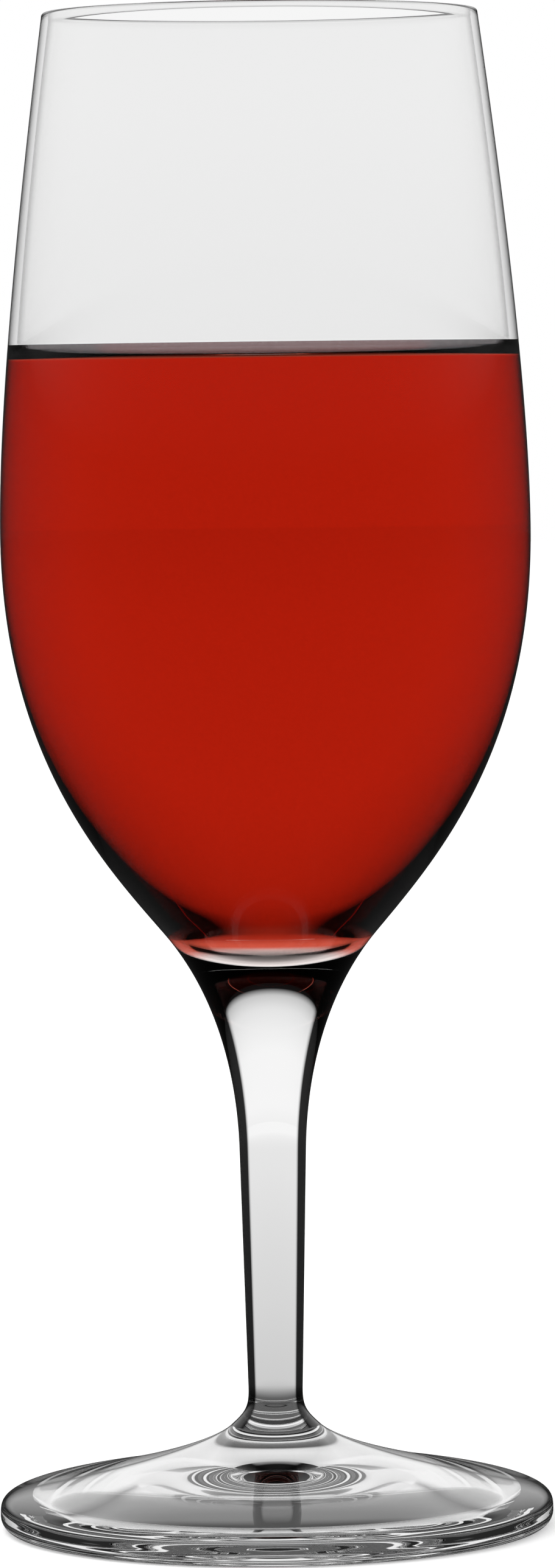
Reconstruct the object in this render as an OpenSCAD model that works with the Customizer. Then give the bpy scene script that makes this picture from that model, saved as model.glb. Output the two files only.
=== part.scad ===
// Stemmed wine glass with wine in it: bowl, stem, foot and wine.
// Every piece is turned about the Z axis. Z = 0 is the surface that the foot stands on.

/* [Bowl] */
// Height of the bowl, from its joint with the stem to the rim
bowl_h = 121.2; // [100:0.1:150]
// Outside diameter at the rim
rim_d = 57.2; // [46:0.1:70]
// Lean of the side at the rim, in degrees from upright
rim_lean = 7.6; // [0:0.1:15]
// Wall thickness at the rim
rim_wall = 1.0; // [0.8:0.1:1.8]
// Outside diameter at the widest place
belly_d = 69.8; // [58:0.1:84]
// Height of the widest place above the joint with the stem
belly_up = 52.9; // [42:0.1:64]
// Wall thickness at the widest place
belly_wall = 1.3; // [0.9:0.1:2.5]
// Radius of the rounded bottom inside the bowl
well_r = 15.2; // [12:0.1:18.5]
// Slope of the wall where it leaves the rounded bottom, in degrees from level
well_slope = 51; // [44:1:56]
// Depth of the inside bottom below the joint with the stem
well_drop = 1.4; // [0:0.1:2.5]
// Glass thickness under the inside bottom
base_t = 1.5; // [1.2:0.1:3]

/* [Stem] */
// Length of the stem, from the foot to the joint with the bowl
stem_l = 65.4; // [50:0.1:90]
// Outside diameter where the stem meets the bowl
head_d = 28; // [23:0.1:34]
// Lean of the side where the stem meets the bowl, in degrees from upright
head_lean = 40.2; // [30:0.1:48]
// Diameter at the top of the straight shank
shank_top_d = 8.8; // [7:0.1:12]
// Distance from the bowl's joint down to the top of the shank
head_l = 28.6; // [22:0.1:36]
// Diameter at the narrow bottom of the shank
shank_d = 7.2; // [5.8:0.1:8.8]
// Height of the narrowest place above the foot
shank_up = 5.1; // [3:0.1:8]

/* [Foot] */
// Height of the foot at the boss that the stem stands on
foot_h = 13.4; // [10:0.1:17]
// Diameter of the foot
foot_d = 73.2; // [60:0.1:90]
// Diameter of the boss where the stem stands
boss_d = 11.8; // [9.8:0.1:14.5]
// Lean of the side at the boss, in degrees from upright
boss_lean = 47.6; // [35:0.1:60]
// Height of the crown, where the top starts to round down to the edge
crown_h = 6.3; // [5:0.1:8]
// Distance from the edge in to the crown
crown_in = 8.3; // [5:0.1:11]
// Lean of the top at the crown, in degrees from upright
crown_lean = 79.8; // [72:0.1:88]
// Height of the edge's widest place, and radius of the corner under it
edge_h = 1.9; // [1.2:0.1:2.6]
// Width of the flat ring that the foot rests on
ring_w = 3.5; // [2:0.1:6]
// Height of the hollow under the foot, at its centre
hollow_h = 4.6; // [2:0.1:6]

/* [Wine] */
// Height of the wine's level above the joint with the stem
wine_up = 75.6; // [20:0.1:92]

/* [Hidden] */
$fn = 180;
long_steps = 24; // steps along a long curve of the outline
short_steps = 10; // steps along a small round

// Heights of the joints and of the rim
boss_z = foot_h;
joint_z = boss_z + stem_l;
rim_z = joint_z + bowl_h;
wine_z = joint_z + wine_up;

// Middle of the well's round, which is also the middle of the seat under the bowl
well_z = joint_z - well_drop + well_r;
seat_r = well_r + base_t;

// Radius at which the round seat meets the flat shoulder around it
shoulder_r = sqrt(seat_r * seat_r - (well_z - joint_z) * (well_z - joint_z));

// A station is [radius, height, lean]: a place on an outline, and its direction there, in degrees
// from straight down with outwards positive.
function place(s) = [s[0], s[1]];
function heading(s) = [sin(s[2]), -cos(s[2])];
function lean_between(a, b) = atan2(b[0] - a[0], a[1] - b[1]);

// One smooth curve from station a to station b. pull is how far it keeps each station's direction,
// as a share of the distance between them.
function curve(a, b, pull, steps) =
    let (
        reach = norm(place(b) - place(a)),
        p = place(a),
        q = place(a) + heading(a) * reach * pull[0],
        r = place(b) - heading(b) * reach * pull[1],
        s = place(b)
    )
    [for (i = [0 : steps])
        let (t = i / steps, u = 1 - t)
        u * u * u * p + 3 * u * u * t * q + 3 * u * t * t * r + t * t * t * s];

// Points along a round from angle a to angle b, in degrees from the +X direction
function round_path(middle, radius, a, b, steps) =
    [for (i = [0 : steps])
        let (angle = a + (b - a) * i / steps)
        middle + radius * [cos(angle), sin(angle)]];

// Path a and then path b, which starts where a ends
function joined(a, b) = concat(a, [for (i = [1 : len(b) - 1]) b[i]]);
function reversed(path) = [for (i = [len(path) - 1 : -1 : 0]) path[i]];

// Outside of the bowl, from the rim down
rim_out = [rim_d / 2, rim_z - rim_wall / 2, rim_lean];
belly_out = [belly_d / 2, joint_z + belly_up, 0];
head_out = [head_d / 2, joint_z, -head_lean];
function bowl_outside() = joined(
    curve(rim_out, belly_out, [0.31, 0.266], long_steps),
    curve(belly_out, head_out, [0.512, 0.219], long_steps)
);

// The rounded lip, from its inside over to its outside
function rim_round() =
    round_path([rim_d / 2 - rim_wall / 2, rim_z - rim_wall / 2], rim_wall / 2, 180, 0, short_steps);

// Inside of the bowl, from the rim down to the middle of the well
rim_in = [rim_d / 2 - rim_wall, rim_z - rim_wall / 2, rim_lean];
belly_in = [belly_d / 2 - belly_wall, joint_z + belly_up, 0];
well_edge = [well_r * sin(well_slope), well_z - well_r * cos(well_slope), well_slope - 90];
function bowl_inside() = joined(
    joined(
        curve(rim_in, belly_in, [0.31, 0.266], long_steps),
        curve(belly_in, well_edge, [0.5, 0.25], long_steps)
    ),
    round_path([0, well_z], well_r, well_slope - 90, -90, short_steps)
);

// The round seat between the bowl's base and the stem's head, from the middle outwards
function seat() = round_path([0, well_z], seat_r, -90, asin(shoulder_r / seat_r) - 90, short_steps);

// Outside of the stem, from the bowl's joint down
shank_top_z = joint_z - head_l;
shank_z = boss_z + shank_up;
shank_lean = lean_between([shank_top_d / 2, shank_top_z], [shank_d / 2, shank_z]);
shank_top = [shank_top_d / 2, shank_top_z, shank_lean];
shank_end = [shank_d / 2, shank_z, shank_lean];
boss = [boss_d / 2, boss_z, boss_lean];
function stem_outside() = concat(
    curve(head_out, shank_top, [0.322, 0.36], long_steps),
    curve(shank_end, boss, [0.483, 0.452], short_steps)
);

// Top of the foot, from the boss out and down to the edge
crown = [foot_d / 2 - crown_in, crown_h, crown_lean];
edge = [foot_d / 2, edge_h, 0];
ring_out = foot_d / 2 - edge_h;
ring_in = ring_out - ring_w;
hollow_r = (ring_in * ring_in + hollow_h * hollow_h) / (2 * hollow_h);
hollow_angle = asin(ring_in / hollow_r);
function foot_outside() = joined(
    joined(
        curve(boss, crown, [0.2, 0.191], long_steps),
        curve(crown, edge, [0.902, 0.243], short_steps)
    ),
    round_path([ring_out, edge_h], edge_h, 0, -90, short_steps)
);

module bowl() {
    color([0.86, 0.9, 0.9, 0.35])
    rotate_extrude()
    polygon(concat(
        joined(rim_round(), bowl_outside()),
        reversed(seat()),
        [for (i = [len(bowl_inside()) - 1 : -1 : 1]) bowl_inside()[i]]
    ));
}

module stem() {
    color([0.84, 0.88, 0.88, 0.45])
    rotate_extrude()
    polygon(concat(seat(), stem_outside(), [[0, boss_z]]));
}

module foot() {
    color([0.86, 0.9, 0.9, 0.4])
    rotate_extrude()
    polygon(concat(
        [[0, boss_z]],
        foot_outside(),
        round_path([0, hollow_h - hollow_r], hollow_r, 90 - hollow_angle, 90, long_steps)
    ));
}

module wine() {
    color([0.7, 0.1, 0.05])
    rotate_extrude()
    intersection() {
        polygon(concat([[0, rim_z]], bowl_inside()));
        square([belly_d / 2, wine_z]);
    }
}

foot();
stem();
bowl();
wine();
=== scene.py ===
import math

import bmesh
import bpy
from mathutils import Matrix, Vector


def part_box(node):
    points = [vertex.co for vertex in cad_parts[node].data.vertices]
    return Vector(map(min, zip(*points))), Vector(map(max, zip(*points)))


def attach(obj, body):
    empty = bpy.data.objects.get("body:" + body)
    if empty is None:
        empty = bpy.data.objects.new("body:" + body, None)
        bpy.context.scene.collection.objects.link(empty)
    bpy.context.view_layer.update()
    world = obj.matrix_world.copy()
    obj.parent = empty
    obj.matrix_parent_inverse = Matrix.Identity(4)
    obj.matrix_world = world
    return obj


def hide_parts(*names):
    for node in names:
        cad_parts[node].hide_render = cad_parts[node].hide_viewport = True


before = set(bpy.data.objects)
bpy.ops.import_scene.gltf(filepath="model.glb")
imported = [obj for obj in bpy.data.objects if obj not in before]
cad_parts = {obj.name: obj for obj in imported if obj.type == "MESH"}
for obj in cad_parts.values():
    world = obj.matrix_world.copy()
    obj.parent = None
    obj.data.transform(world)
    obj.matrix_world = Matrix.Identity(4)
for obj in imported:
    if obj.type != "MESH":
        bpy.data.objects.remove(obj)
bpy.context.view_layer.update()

mm = 0.001
tiny = 1e-6

# Heights and widths that the pieces share, from the CAD frame
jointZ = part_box("stem")[1].z    # weld between bowl and stem
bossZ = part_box("foot")[1].z     # weld between stem and foot
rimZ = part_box("bowl")[1].z
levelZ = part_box("wine")[1].z    # the wine's level, away from the glass
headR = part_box("stem")[1].x
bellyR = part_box("bowl")[1].x
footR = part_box("foot")[1].x


class Station:    # a place on an outline and the direction it runs there, in degrees from straight down
    def __init__(self, radius, height, lean):
        self.at = Vector((radius, 0, height))
        self.way = Vector((math.sin(math.radians(lean)), 0, -math.cos(math.radians(lean))))


def curve(start, end, pull, steps):    # one smooth curve between two stations
    reach = (end.at - start.at).length
    p, s = start.at, end.at
    q = p + start.way * reach * pull[0]
    r = s - end.way * reach * pull[1]
    points = []
    for i in range(steps + 1):
        t = i / steps
        u = 1 - t
        points.append(p * u ** 3 + q * 3 * u * u * t + r * 3 * u * t * t + s * t ** 3)
    return points


def arc(middleR, middleZ, radius, fromAngle, toAngle, steps):    # angles in degrees from +X
    points = []
    for i in range(steps + 1):
        a = math.radians(fromAngle + (toAngle - fromAngle) * i / steps)
        points.append(Vector((middleR + radius * math.cos(a), 0, middleZ + radius * math.sin(a))))
    return points


weldDistance = 1e-7    # points closer than this are one point
sharpAngle = 40        # an edge that bends more than this many degrees stays crisp


def turn(name, outline, steps):    # spins a closed outline about the Z axis into a smooth solid
    bm = bmesh.new()
    verts = [bm.verts.new(p) for p in outline]
    pairs = list(zip(verts, verts[1:]))
    if outline[0].x > weldDistance or outline[-1].x > weldDistance:
        pairs.append((verts[-1], verts[0]))
    edges = [bm.edges.new(pair) for pair in pairs]
    bmesh.ops.spin(bm, geom=verts + edges, cent=(0, 0, 0), axis=(0, 0, 1),
                   angle=math.tau, steps=steps, use_merge=True)
    bmesh.ops.remove_doubles(bm, verts=bm.verts, dist=weldDistance)
    bmesh.ops.recalc_face_normals(bm, faces=bm.faces)
    mesh = bpy.data.meshes.new(name)
    bm.to_mesh(mesh)
    bm.free()
    mesh.shade_smooth()
    mesh.set_sharp_from_angle(angle=math.radians(sharpAngle))
    piece = bpy.data.objects.new(name, mesh)
    bpy.context.collection.objects.link(piece)
    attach(piece, "root")
    print("turned", name, len(mesh.vertices), "points")
    return piece


class Sock:    # a shader socket that Python's own operators work on
    def __init__(self, tree, socket):
        self.tree, self.socket = tree, socket

    def maths(self, operation, *values):
        return self.tree.add("ShaderNodeMath", {"operation": operation}, *values)

    def __add__(self, other):
        return self.maths("ADD", self, other)

    def __radd__(self, other):
        return self.maths("ADD", other, self)

    def __sub__(self, other):
        return self.maths("SUBTRACT", self, other)

    def __rsub__(self, other):
        return self.maths("SUBTRACT", other, self)

    def __mul__(self, other):
        return self.maths("MULTIPLY", self, other)

    def __rmul__(self, other):
        return self.maths("MULTIPLY", other, self)

    def __truediv__(self, other):
        return self.maths("DIVIDE", self, other)


class Tree:    # the nodes of a material or of the world, each added by one call
    def __init__(self, owner):
        owner.use_nodes = True
        self.nodes, self.links = owner.node_tree.nodes, owner.node_tree.links
        self.nodes.clear()

    def add(self, kind, settings, *values, out=0, **named):
        node = self.nodes.new(kind)
        for key, value in settings.items():
            if key == "stops":
                stops = node.color_ramp.elements
                stops.remove(stops[1])
                for i, (place, colour) in enumerate(value):
                    stop = stops.new(place) if i else stops[0]
                    stop.position, stop.color = place, colour
            else:
                setattr(node, key, value)
        pairs = list(zip(node.inputs, values))
        pairs += [(node.inputs[key], value) for key, value in named.items()]
        for socket, value in pairs:
            if isinstance(value, Sock):
                self.links.new(value.socket, socket)
            elif value is not None:
                socket.default_value = value
        return Sock(self, node.outputs[out]) if len(node.outputs) else node

    def between(self, value, low, high):    # 0 below low, 1 above high, smooth between
        smooth = {"interpolation_type": "SMOOTHSTEP"}
        return self.add("ShaderNodeMapRange", smooth, value, low, high, 0.0, 1.0)

    def blend(self, share, a, b):    # colour a where share is 0, colour b where it is 1
        unused = [None] * 5          # the sockets that only a blend of numbers or vectors has
        return self.add("ShaderNodeMix", {"data_type": "RGBA"}, share, *unused, a, b, out=2)

    def ramp(self, pairs, value):    # greys between (place, level) pairs, places from 0 to 1
        stops = [(place, (level, level, level, 1)) for place, level in pairs]
        return self.add("ShaderNodeValToRGB", {"stops": stops}, value)

    def height(self):    # metres above the surface that the glass stands on
        place = self.add("ShaderNodeTexCoord", {}, out=3)
        return self.add("ShaderNodeSeparateXYZ", {}, place, out=2)


glassLook = {
    "ior": 1.52,
    "clear": 0.92,        # what a sheet of it lets through
    "paintedEdgeShade": 0.0005,   # painted shade: the near-black colour its sides are given where they turn away, as they bend the light far round
    "glare": 0.06,        # share of its mirroring that is kept where it is seen straight on
    "roughness": 0.0,
    # how far the side turns away where the painted shade starts, and where it is full
    "bowlShadeTurn": (0.74, 0.95),
    "stemShadeTurn": (0.27, 0.36),
    "footShadeTurn": (0.9, 1.0),
    "wetShadeTurn": (2.0, 3.0),    # out of reach, so the wet inside of the bowl gets no painted shade
    # the painted shade on the stem's head starts later, by this much, above a band of heights below the
    # joint
    "headShadeLater": (4.5 * mm, 1.5 * mm, 0.5),
}


def glass(name, edge, clear=glassLook["clear"], glare=glassLook["glare"], later=None):
    material = bpy.data.materials.new(name)
    t = Tree(material)
    look = glassLook
    place = t.add("ShaderNodeTexCoord", {}, out=3)
    outwards = t.add("ShaderNodeVectorMath", {"operation": "MULTIPLY"}, place, (1, 1, 0))
    outwards = t.add("ShaderNodeVectorMath", {"operation": "NORMALIZE"}, outwards)
    facing = t.add("ShaderNodeLayerWeight", {}, 0.5, outwards, out=1)
    if later:
        low, high, much = later
        facing = facing - t.between(t.height(), jointZ - low, jointZ - high) * much
    # painted shade: the glass colour goes to near black where its side turns away from the view
    tone = look["paintedEdgeShade"]
    colour = t.blend(t.between(facing, *edge), (clear, clear, clear, 1), (tone, tone, tone, 1))
    shader = t.add("ShaderNodeBsdfPrincipled", {}, **{
        "Base Color": colour, "Roughness": look["roughness"], "IOR": look["ior"],
        "Transmission Weight": 1.0, "Specular Tint": (glare, glare, glare, 1)})
    t.add("ShaderNodeOutputMaterial", {}, shader)
    return material


def weld():    # where two glass pieces are melted together there is no surface to see
    material = bpy.data.materials.new("weld")
    t = Tree(material)
    clear = t.add("ShaderNodeBsdfTransparent", {}, (1, 1, 1, 1))
    t.add("ShaderNodeOutputMaterial", {}, clear)
    return material


weldClear = weld()


def giveFaces(piece, material, chosen):    # chosen picks faces by their radius and height
    piece.data.materials.append(material)
    for face in piece.data.polygons:
        c = face.center
        if chosen(math.hypot(c.x, c.y), c.z):
            face.material_index = len(piece.data.materials) - 1


bowlSizes = {
    "rimR": 28.6 * mm, "rimLean": 7.6, "rimWall": 1.0 * mm,
    "bellyZ": jointZ + 52.9 * mm, "bellyWall": 1.3 * mm,
    "headLean": 40.2,
    "wellR": 15.2 * mm, "wellSlope": 51, "wellDrop": 1.4 * mm,
    "baseT": 1.5 * mm,
    # how far each curve keeps the direction of its two ends
    "upperPull": (0.31, 0.266), "lowerPull": (0.512, 0.219), "insidePull": (0.5, 0.25),
    "upperSteps": 64, "lowerSteps": 90, "wellSteps": 28, "rimSteps": 14, "seatSteps": 20,
    "around": 168,
}
seatClose = 0.15 * mm        # a face this close to the seat's round is on the seat
shoulderClose = 0.03 * mm    # and this close to the joint's height is on its flat shoulder
wetClose = 0.62 * mm         # and this close to the inside outline is inside the bowl


def wellMiddleZ():
    return jointZ - bowlSizes["wellDrop"] + bowlSizes["wellR"]


def bowlInside(grow=0.0):    # from the rim down to the middle of the well, grow further out
    b = bowlSizes
    lip = Station(b["rimR"] - b["rimWall"] + grow, rimZ - b["rimWall"] / 2, b["rimLean"])
    belly = Station(bellyR - b["bellyWall"] + grow, b["bellyZ"], 0)
    wellZ = wellMiddleZ()
    slope = math.radians(b["wellSlope"])
    r = b["wellR"] + grow
    wellEdge = Station(r * math.sin(slope), wellZ - r * math.cos(slope), b["wellSlope"] - 90)
    return (curve(lip, belly, b["upperPull"], b["upperSteps"])
            + curve(belly, wellEdge, b["insidePull"], b["lowerSteps"])[1:]
            + arc(0, wellZ, r, b["wellSlope"] - 90, -90, b["wellSteps"])[1:])


def bowlSeat(lift=0.0):    # the round seat under the bowl, from the middle outwards, and its shoulder
    b = bowlSizes
    wellZ = wellMiddleZ()
    r = b["wellR"] + b["baseT"]
    rise = wellZ - jointZ
    shoulder = math.sqrt(r * r - rise * rise)
    end = math.degrees(math.asin(shoulder / r)) - 90
    return [p + Vector((0, 0, lift)) for p in arc(0, wellZ, r, -90, end, b["seatSteps"])]


def onSeat(r, z):
    away = math.hypot(r, wellMiddleZ() - z)
    onRound = abs(away - (bowlSizes["wellR"] + bowlSizes["baseT"])) < seatClose
    return onRound or abs(z - jointZ) < shoulderClose


def makeBowl():
    b = bowlSizes
    lipMiddle = b["rimR"] - b["rimWall"] / 2
    lipZ = rimZ - b["rimWall"] / 2
    belly = Station(bellyR, b["bellyZ"], 0)
    lip = Station(b["rimR"], lipZ, b["rimLean"])
    head = Station(headR, jointZ, -b["headLean"])
    outside = (curve(lip, belly, b["upperPull"], b["upperSteps"])
               + curve(belly, head, b["lowerPull"], b["lowerSteps"])[1:])
    outline = (list(reversed(bowlInside()))
               + arc(lipMiddle, lipZ, b["rimWall"] / 2, 180, 0, b["rimSteps"])[1:-1]
               + outside
               + list(reversed(bowlSeat())))
    piece = turn("bowl_glass", outline, b["around"])
    piece.data.materials.append(glass("bowlGlass", glassLook["bowlShadeTurn"]))
    giveFaces(piece, weldClear, lambda r, z: z < jointZ + tiny and r < headR and onSeat(r, z))
    contactZ = levelZ + wineSizes["climb"]
    wet = [p for p in bowlInside() if p.z < contactZ]

    def isWet(r, z):    # inside the bowl and below the wine's edge
        if z > contactZ:
            return False
        near = min(wet, key=lambda p: (p.x - r) ** 2 + (p.z - z) ** 2)
        return math.hypot(near.x - r, near.z - z) < wetClose

    giveFaces(piece, glass("wetGlass", glassLook["wetShadeTurn"], clear=1.0, glare=0.0), isWet)
    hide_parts("bowl")
    return piece


stemSizes = {
    "shankTopR": 4.4 * mm, "shankTopZ": jointZ - 28.6 * mm,
    "shankR": 3.6 * mm, "shankZ": bossZ + 5.1 * mm,
    "bossR": 5.9 * mm, "bossLean": 47.6,
    "gap": 0.01 * mm,        # clear of the bowl and of the foot at its two welds
    "headPull": (0.322, 0.36), "shankPull": (0.33, 0.33), "bossPull": (0.483, 0.452),
    "headSteps": 72, "shankSteps": 30, "bossSteps": 28,
    "around": 128,
}


def makeStem():
    s, b = stemSizes, bowlSizes
    lean = math.degrees(math.atan2(s["shankR"] - s["shankTopR"], s["shankTopZ"] - s["shankZ"]))
    head = Station(headR, jointZ - s["gap"], -b["headLean"])
    shankTop = Station(s["shankTopR"], s["shankTopZ"], lean)
    shankEnd = Station(s["shankR"], s["shankZ"], lean)
    boss = Station(s["bossR"], bossZ + s["gap"], s["bossLean"])
    outline = (bowlSeat(-s["gap"])
               + curve(head, shankTop, s["headPull"], s["headSteps"])
               + curve(shankTop, shankEnd, s["shankPull"], s["shankSteps"])[1:]
               + curve(shankEnd, boss, s["bossPull"], s["bossSteps"])[1:]
               + [Vector((0, 0, bossZ + s["gap"]))])
    piece = turn("stem_glass", outline, s["around"])
    shadedStemGlass = glass("stemGlass", glassLook["stemShadeTurn"], later=glassLook["headShadeLater"])
    piece.data.materials.append(shadedStemGlass)
    middleZ = (bossZ + jointZ) / 2

    def isWeld(r, z):    # the seat under the bowl, or the flat end on the foot
        return z < bossZ + 2 * s["gap"] or (z > middleZ and onSeat(r, z))

    giveFaces(piece, weldClear, isWeld)
    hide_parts("stem")
    return piece


footSizes = {
    "crownIn": 8.3 * mm, "crownZ": 6.3 * mm, "crownLean": 79.8,
    "edgeZ": 1.9 * mm, "ringW": 3.5 * mm, "hollow": 4.6 * mm,
    "topPull": (0.2, 0.191), "crownPull": (0.902, 0.243),
    "topSteps": 90, "crownSteps": 36, "cornerSteps": 16, "hollowSteps": 40,
    "around": 168,
}


def makeFoot():
    f, s = footSizes, stemSizes
    boss = Station(s["bossR"], bossZ, s["bossLean"])
    crown = Station(footR - f["crownIn"], f["crownZ"], f["crownLean"])
    edge = Station(footR, f["edgeZ"], 0)
    ringOut = footR - f["edgeZ"]
    ringIn = ringOut - f["ringW"]
    hollowR = (ringIn ** 2 + f["hollow"] ** 2) / (2 * f["hollow"])
    hollowAngle = math.degrees(math.asin(ringIn / hollowR))
    outline = ([Vector((0, 0, bossZ))]
               + curve(boss, crown, f["topPull"], f["topSteps"])
               + curve(crown, edge, f["crownPull"], f["crownSteps"])[1:]
               + arc(ringOut, f["edgeZ"], f["edgeZ"], 0, -90, f["cornerSteps"])[1:]
               + arc(0, f["hollow"] - hollowR, hollowR, 90 - hollowAngle, 90, f["hollowSteps"]))
    piece = turn("foot_glass", outline, f["around"])
    piece.data.materials.append(glass("footGlass", glassLook["footShadeTurn"], glare=1.0))
    giveFaces(piece, weldClear, lambda r, z: z > bossZ - tiny)
    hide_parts("foot")
    return piece


wineSizes = {
    "climb": 2.1 * mm,         # how far the wine climbs up the glass
    "climbReach": 2.6 * mm,    # and how far in from the glass that starts
    "climbPull": (0.6, 0.45),
    "touch": 0.02 * mm,        # its top edge reaches this far past the glass
    "wet": 0.3 * mm,           # the wine reaches this far into the wall, so no air shows between
    "levelSteps": 20, "climbSteps": 24,
    "around": 168,
}
wineLook = {
    "ior": 1.34,
    "depth": (0.8, 0.6, 0.5, 1),          # the colour that the depth adds
    "strength": 10.0,                     # how strongly it adds it, per metre
    # the colour that the surface gives, from the bottom up
    "bottom": (0.97, 0.85, 0.82, 1),      # where the well is deepest
    "shallow": (0.8, 0.12, 0.07, 1),      # in the rest of the well
    "side": (0.52, 0.0156, 0.0046, 1),    # on the sides and on the level
    "film": (0.6, 0.57, 0.58, 1),         # in the thin film that climbs up the glass
    # heights where one colour ends and the next begins, from the joint or from the level
    "bottomEnd": (-0.9 * mm, 0.4 * mm),
    "shallowEnd": (0.5 * mm, 3.5 * mm),
    "sideEnd": (-0.1 * mm, -0.02 * mm),
    "filmStart": (0.03 * mm, 0.3 * mm),
    # painted shade: how steeply the side turns away, and how much of the wine's colour is kept there,
    # the rest painted black
    "edge": ((0.13, 1.0), (0.2, 0.85), (0.234, 0.72), (0.266, 0.58), (0.29, 0.32), (0.299, 0.14),
             (0.308, 0.0)),
}


def redWine():
    w = wineLook
    material = bpy.data.materials.new("redWine")
    t = Tree(material)
    height = t.height()
    aboveBottom = t.between(height, *[jointZ + z for z in w["bottomEnd"]])
    aboveWell = t.between(height, *[jointZ + z for z in w["shallowEnd"]])
    belowLevel = 1 - t.between(height, *[levelZ + z for z in w["sideEnd"]])
    aboveLevel = t.between(height, *[levelZ + z for z in w["filmStart"]])
    # the level and the well get no painted shade where they turn away
    turned = t.add("ShaderNodeLayerWeight", {}, 0.5, out=1) * (belowLevel + aboveLevel) * aboveWell
    well = t.blend(aboveBottom, w["bottom"], w["shallow"])
    body = t.blend(aboveWell, well, w["side"])
    tint = t.blend(aboveLevel, body, w["film"])
    # painted shade: the wine's colour is blended to black where its side turns away from the view
    colour = t.blend(t.ramp(w["edge"], turned), (0, 0, 0, 1), tint)
    shader = t.add("ShaderNodeBsdfPrincipled", {}, **{
        "Base Color": colour, "Roughness": 0.0, "IOR": w["ior"], "Transmission Weight": 1.0,
        "Specular Tint": (0, 0, 0, 1)})
    depth = t.add("ShaderNodeVolumeAbsorption", {}, w["depth"], w["strength"])
    t.add("ShaderNodeOutputMaterial", {}, shader, depth)
    return material


def makeWine():
    w = wineSizes
    contactZ = levelZ + w["climb"]
    wall = [p for p in bowlInside(w["wet"]) if p.z < contactZ]
    contactR = next(p.x for p in bowlInside() if p.z < contactZ)
    touch = Station(contactR + w["touch"], contactZ, 180)
    start = Station(contactR - w["climbReach"], levelZ, 90)
    steps = w["levelSteps"]
    level = [Vector((start.at.x * i / steps, 0, levelZ)) for i in range(steps)]
    outline = level + curve(start, touch, w["climbPull"], w["climbSteps"]) + wall
    piece = turn("red_wine", outline, w["around"])
    piece.data.materials.append(redWine())
    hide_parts("wine")
    return piece


studio = {
    # degrees above the horizon, and how bright the room is there for light that came through the glass
    "backdrop": ((-90, 0.7), (-8, 0.72), (-4, 0.88), (2, 1.0), (12, 1.0), (25, 0.86), (33, 0.66),
                 (40, 0.008)),
    # the same for light that the glass mirrors
    "mirrored": ((-10, 0.02), (4, 0.03), (12, 0.9), (34, 0.9), (42, 0.03)),
    "fill": 0.8,           # light from all round
    "floorR": 6.0,
    "floorTone": 0.9,
    "floorGlow": 0.35,     # share of the floor's white that no shadow takes away
    # painted shadow: metres from the middle, and how bright the floor glows there seen through the
    # glass, dark near the glass and evenly white far off
    "floorShadowThrough": ((0.06, 0.12), (0.13, 0.4), (0.18, 0.66), (0.3, 0.73), (0.6, 0.85), (1.5, 1.0)),
    "floorMirrored": 0.02,
    "lampSize": (0.9, 0.6), "lampWatts": 6, "lampAt": (-0.5, -0.2, 1.3), "lampAim": (0, 0, 0.1),
}


def rays(t):    # which kind of ray is asking: seen directly, come through glass, or mirrored by it
    direct = t.add("ShaderNodeLightPath", {}, out="Is Camera Ray")
    through = t.add("ShaderNodeLightPath", {}, out="Is Transmission Ray")
    glossy = t.add("ShaderNodeLightPath", {}, out="Is Glossy Ray")
    return direct, through, glossy * (1 - through)


def bySine(pairs):    # places on a ramp for degrees above the horizon
    return [(math.sin(math.radians(degrees)) / 2 + 0.5, level) for degrees, level in pairs]


def makeWorld():
    world = bpy.data.worlds.new("studio")
    bpy.context.scene.world = world
    t = Tree(world)
    way = t.add("ShaderNodeTexCoord", {})
    up = t.add("ShaderNodeSeparateXYZ", {}, way, out=2) * 0.5 + 0.5
    backdrop = t.ramp(bySine(studio["backdrop"]), up)
    mirrored = t.ramp(bySine(studio["mirrored"]), up)
    direct, through, mirror = rays(t)
    level = (direct + through * backdrop + mirror * mirrored
             + (1 - direct) * (1 - through) * (1 - mirror) * studio["fill"])
    background = t.add("ShaderNodeBackground", {}, (1, 1, 1, 1), level)
    t.add("ShaderNodeOutputWorld", {}, background)
    print("lit the room")


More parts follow.
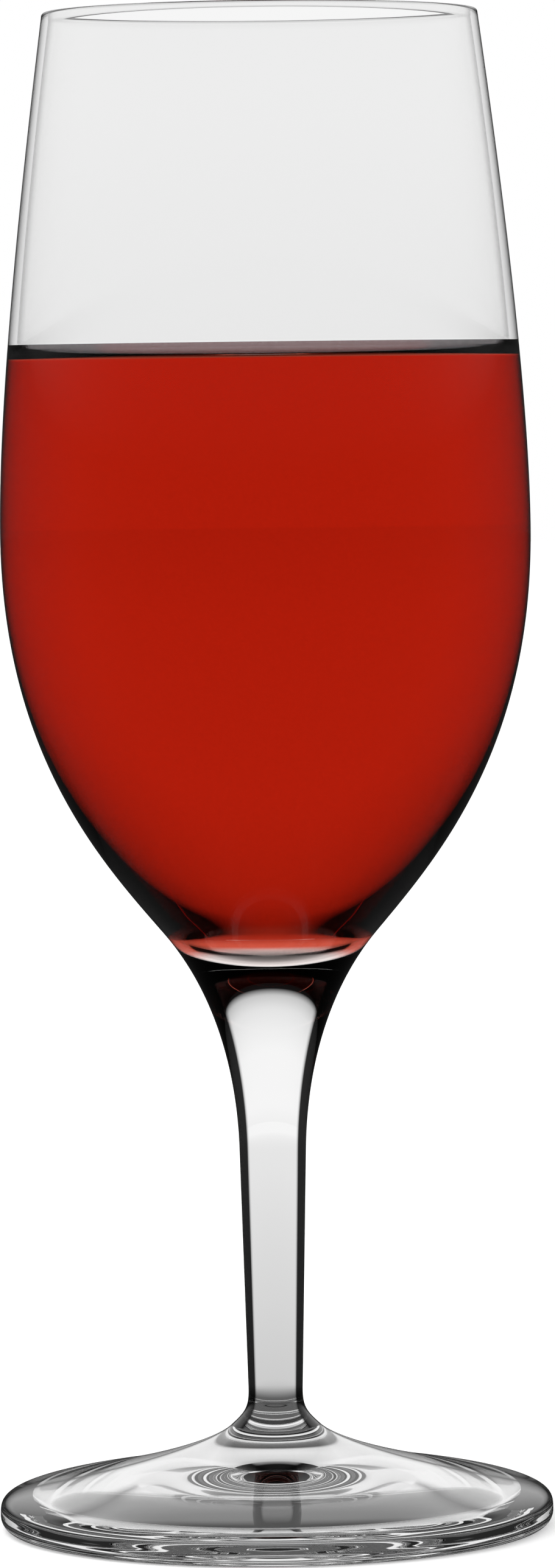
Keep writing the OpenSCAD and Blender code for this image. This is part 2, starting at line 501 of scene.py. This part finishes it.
def makeFloor():
    bm = bmesh.new()
    bmesh.ops.create_circle(bm, cap_ends=True, segments=96, radius=studio["floorR"])
    mesh = bpy.data.meshes.new("floor")
    bm.to_mesh(mesh)
    bm.free()
    floor = bpy.data.objects.new("floor", mesh)
    bpy.context.collection.objects.link(floor)
    material = bpy.data.materials.new("paleFloor")
    t = Tree(material)
    tone = studio["floorTone"]
    matt = t.add("ShaderNodeBsdfDiffuse", {}, (tone, tone, tone, 1))
    place = t.add("ShaderNodeTexCoord", {}, out=3)
    away = t.add("ShaderNodeVectorMath", {"operation": "LENGTH"}, place, out=1)
    reach = studio["floorShadowThrough"][-1][0]
    # painted shadow: the floor seen through the glass glows less the nearer it is to the middle
    glowWithPaintedShadow = t.ramp([(metres / reach, level) for metres, level in studio["floorShadowThrough"]], away / reach)
    direct, through, mirror = rays(t)
    level = direct * studio["floorGlow"] + through * glowWithPaintedShadow + mirror * studio["floorMirrored"]
    shine = t.add("ShaderNodeEmission", {}, (1, 1, 1, 1), level)
    dull = t.add("ShaderNodeMixShader", {}, mirror + through, matt, None)
    both = t.add("ShaderNodeAddShader", {}, dull, shine)
    t.add("ShaderNodeOutputMaterial", {}, both)
    mesh.materials.append(material)
    print("laid the floor")


def makeLamp():
    lamp = bpy.data.lights.new("overhead", "AREA")
    lamp.shape, lamp.energy = "RECTANGLE", studio["lampWatts"]
    lamp.size, lamp.size_y = studio["lampSize"]
    holder = bpy.data.objects.new("overhead", lamp)
    holder.location = studio["lampAt"]
    aim = Vector(studio["lampAim"]) - holder.location
    holder.rotation_euler = aim.to_track_quat("-Z", "Y").to_euler()
    holder.visible_camera = holder.visible_glossy = holder.visible_transmission = False
    bpy.context.collection.objects.link(holder)


cameraSetup = {
    "distance": 967 * mm, "height": 151 * mm, "aimZ": 98.4 * mm, "aside": 1.2 * mm,
    "lens": 168.5, "sensor": 36, "roll": -0.0119,    # the roll in radians
    "clip": (0.01, 100),
}


def makeCamera():
    c = cameraSetup
    data = bpy.data.cameras.new("camera")
    data.lens, data.sensor_width = c["lens"], c["sensor"]
    data.clip_start, data.clip_end = c["clip"]
    camera = bpy.data.objects.new("camera", data)
    bpy.context.collection.objects.link(camera)
    eye = Vector((c["aside"], -c["distance"], c["height"]))
    forward = (Vector((c["aside"], 0, c["aimZ"])) - eye).normalized()
    right = forward.cross(Vector((0, 0, 1))).normalized()
    up = right.cross(forward)
    cosR, sinR = math.cos(c["roll"]), math.sin(c["roll"])
    x, y, z = right * cosR + up * sinR, up * cosR - right * sinR, -forward
    camera.matrix_world = Matrix.Translation(eye) @ Matrix((x, y, z)).transposed().to_4x4()
    bpy.context.scene.camera = camera
    print("set up the camera")


makeBowl()
makeStem()
makeFoot()
makeWine()
makeWorld()
makeFloor()
makeLamp()
makeCamera()

scene = bpy.context.scene
scene.view_settings.view_transform = "Standard"
scene.cycles.max_bounces = 24
scene.cycles.transmission_bounces = 24
scene.cycles.glossy_bounces = 12
scene.cycles.transparent_max_bounces = 24
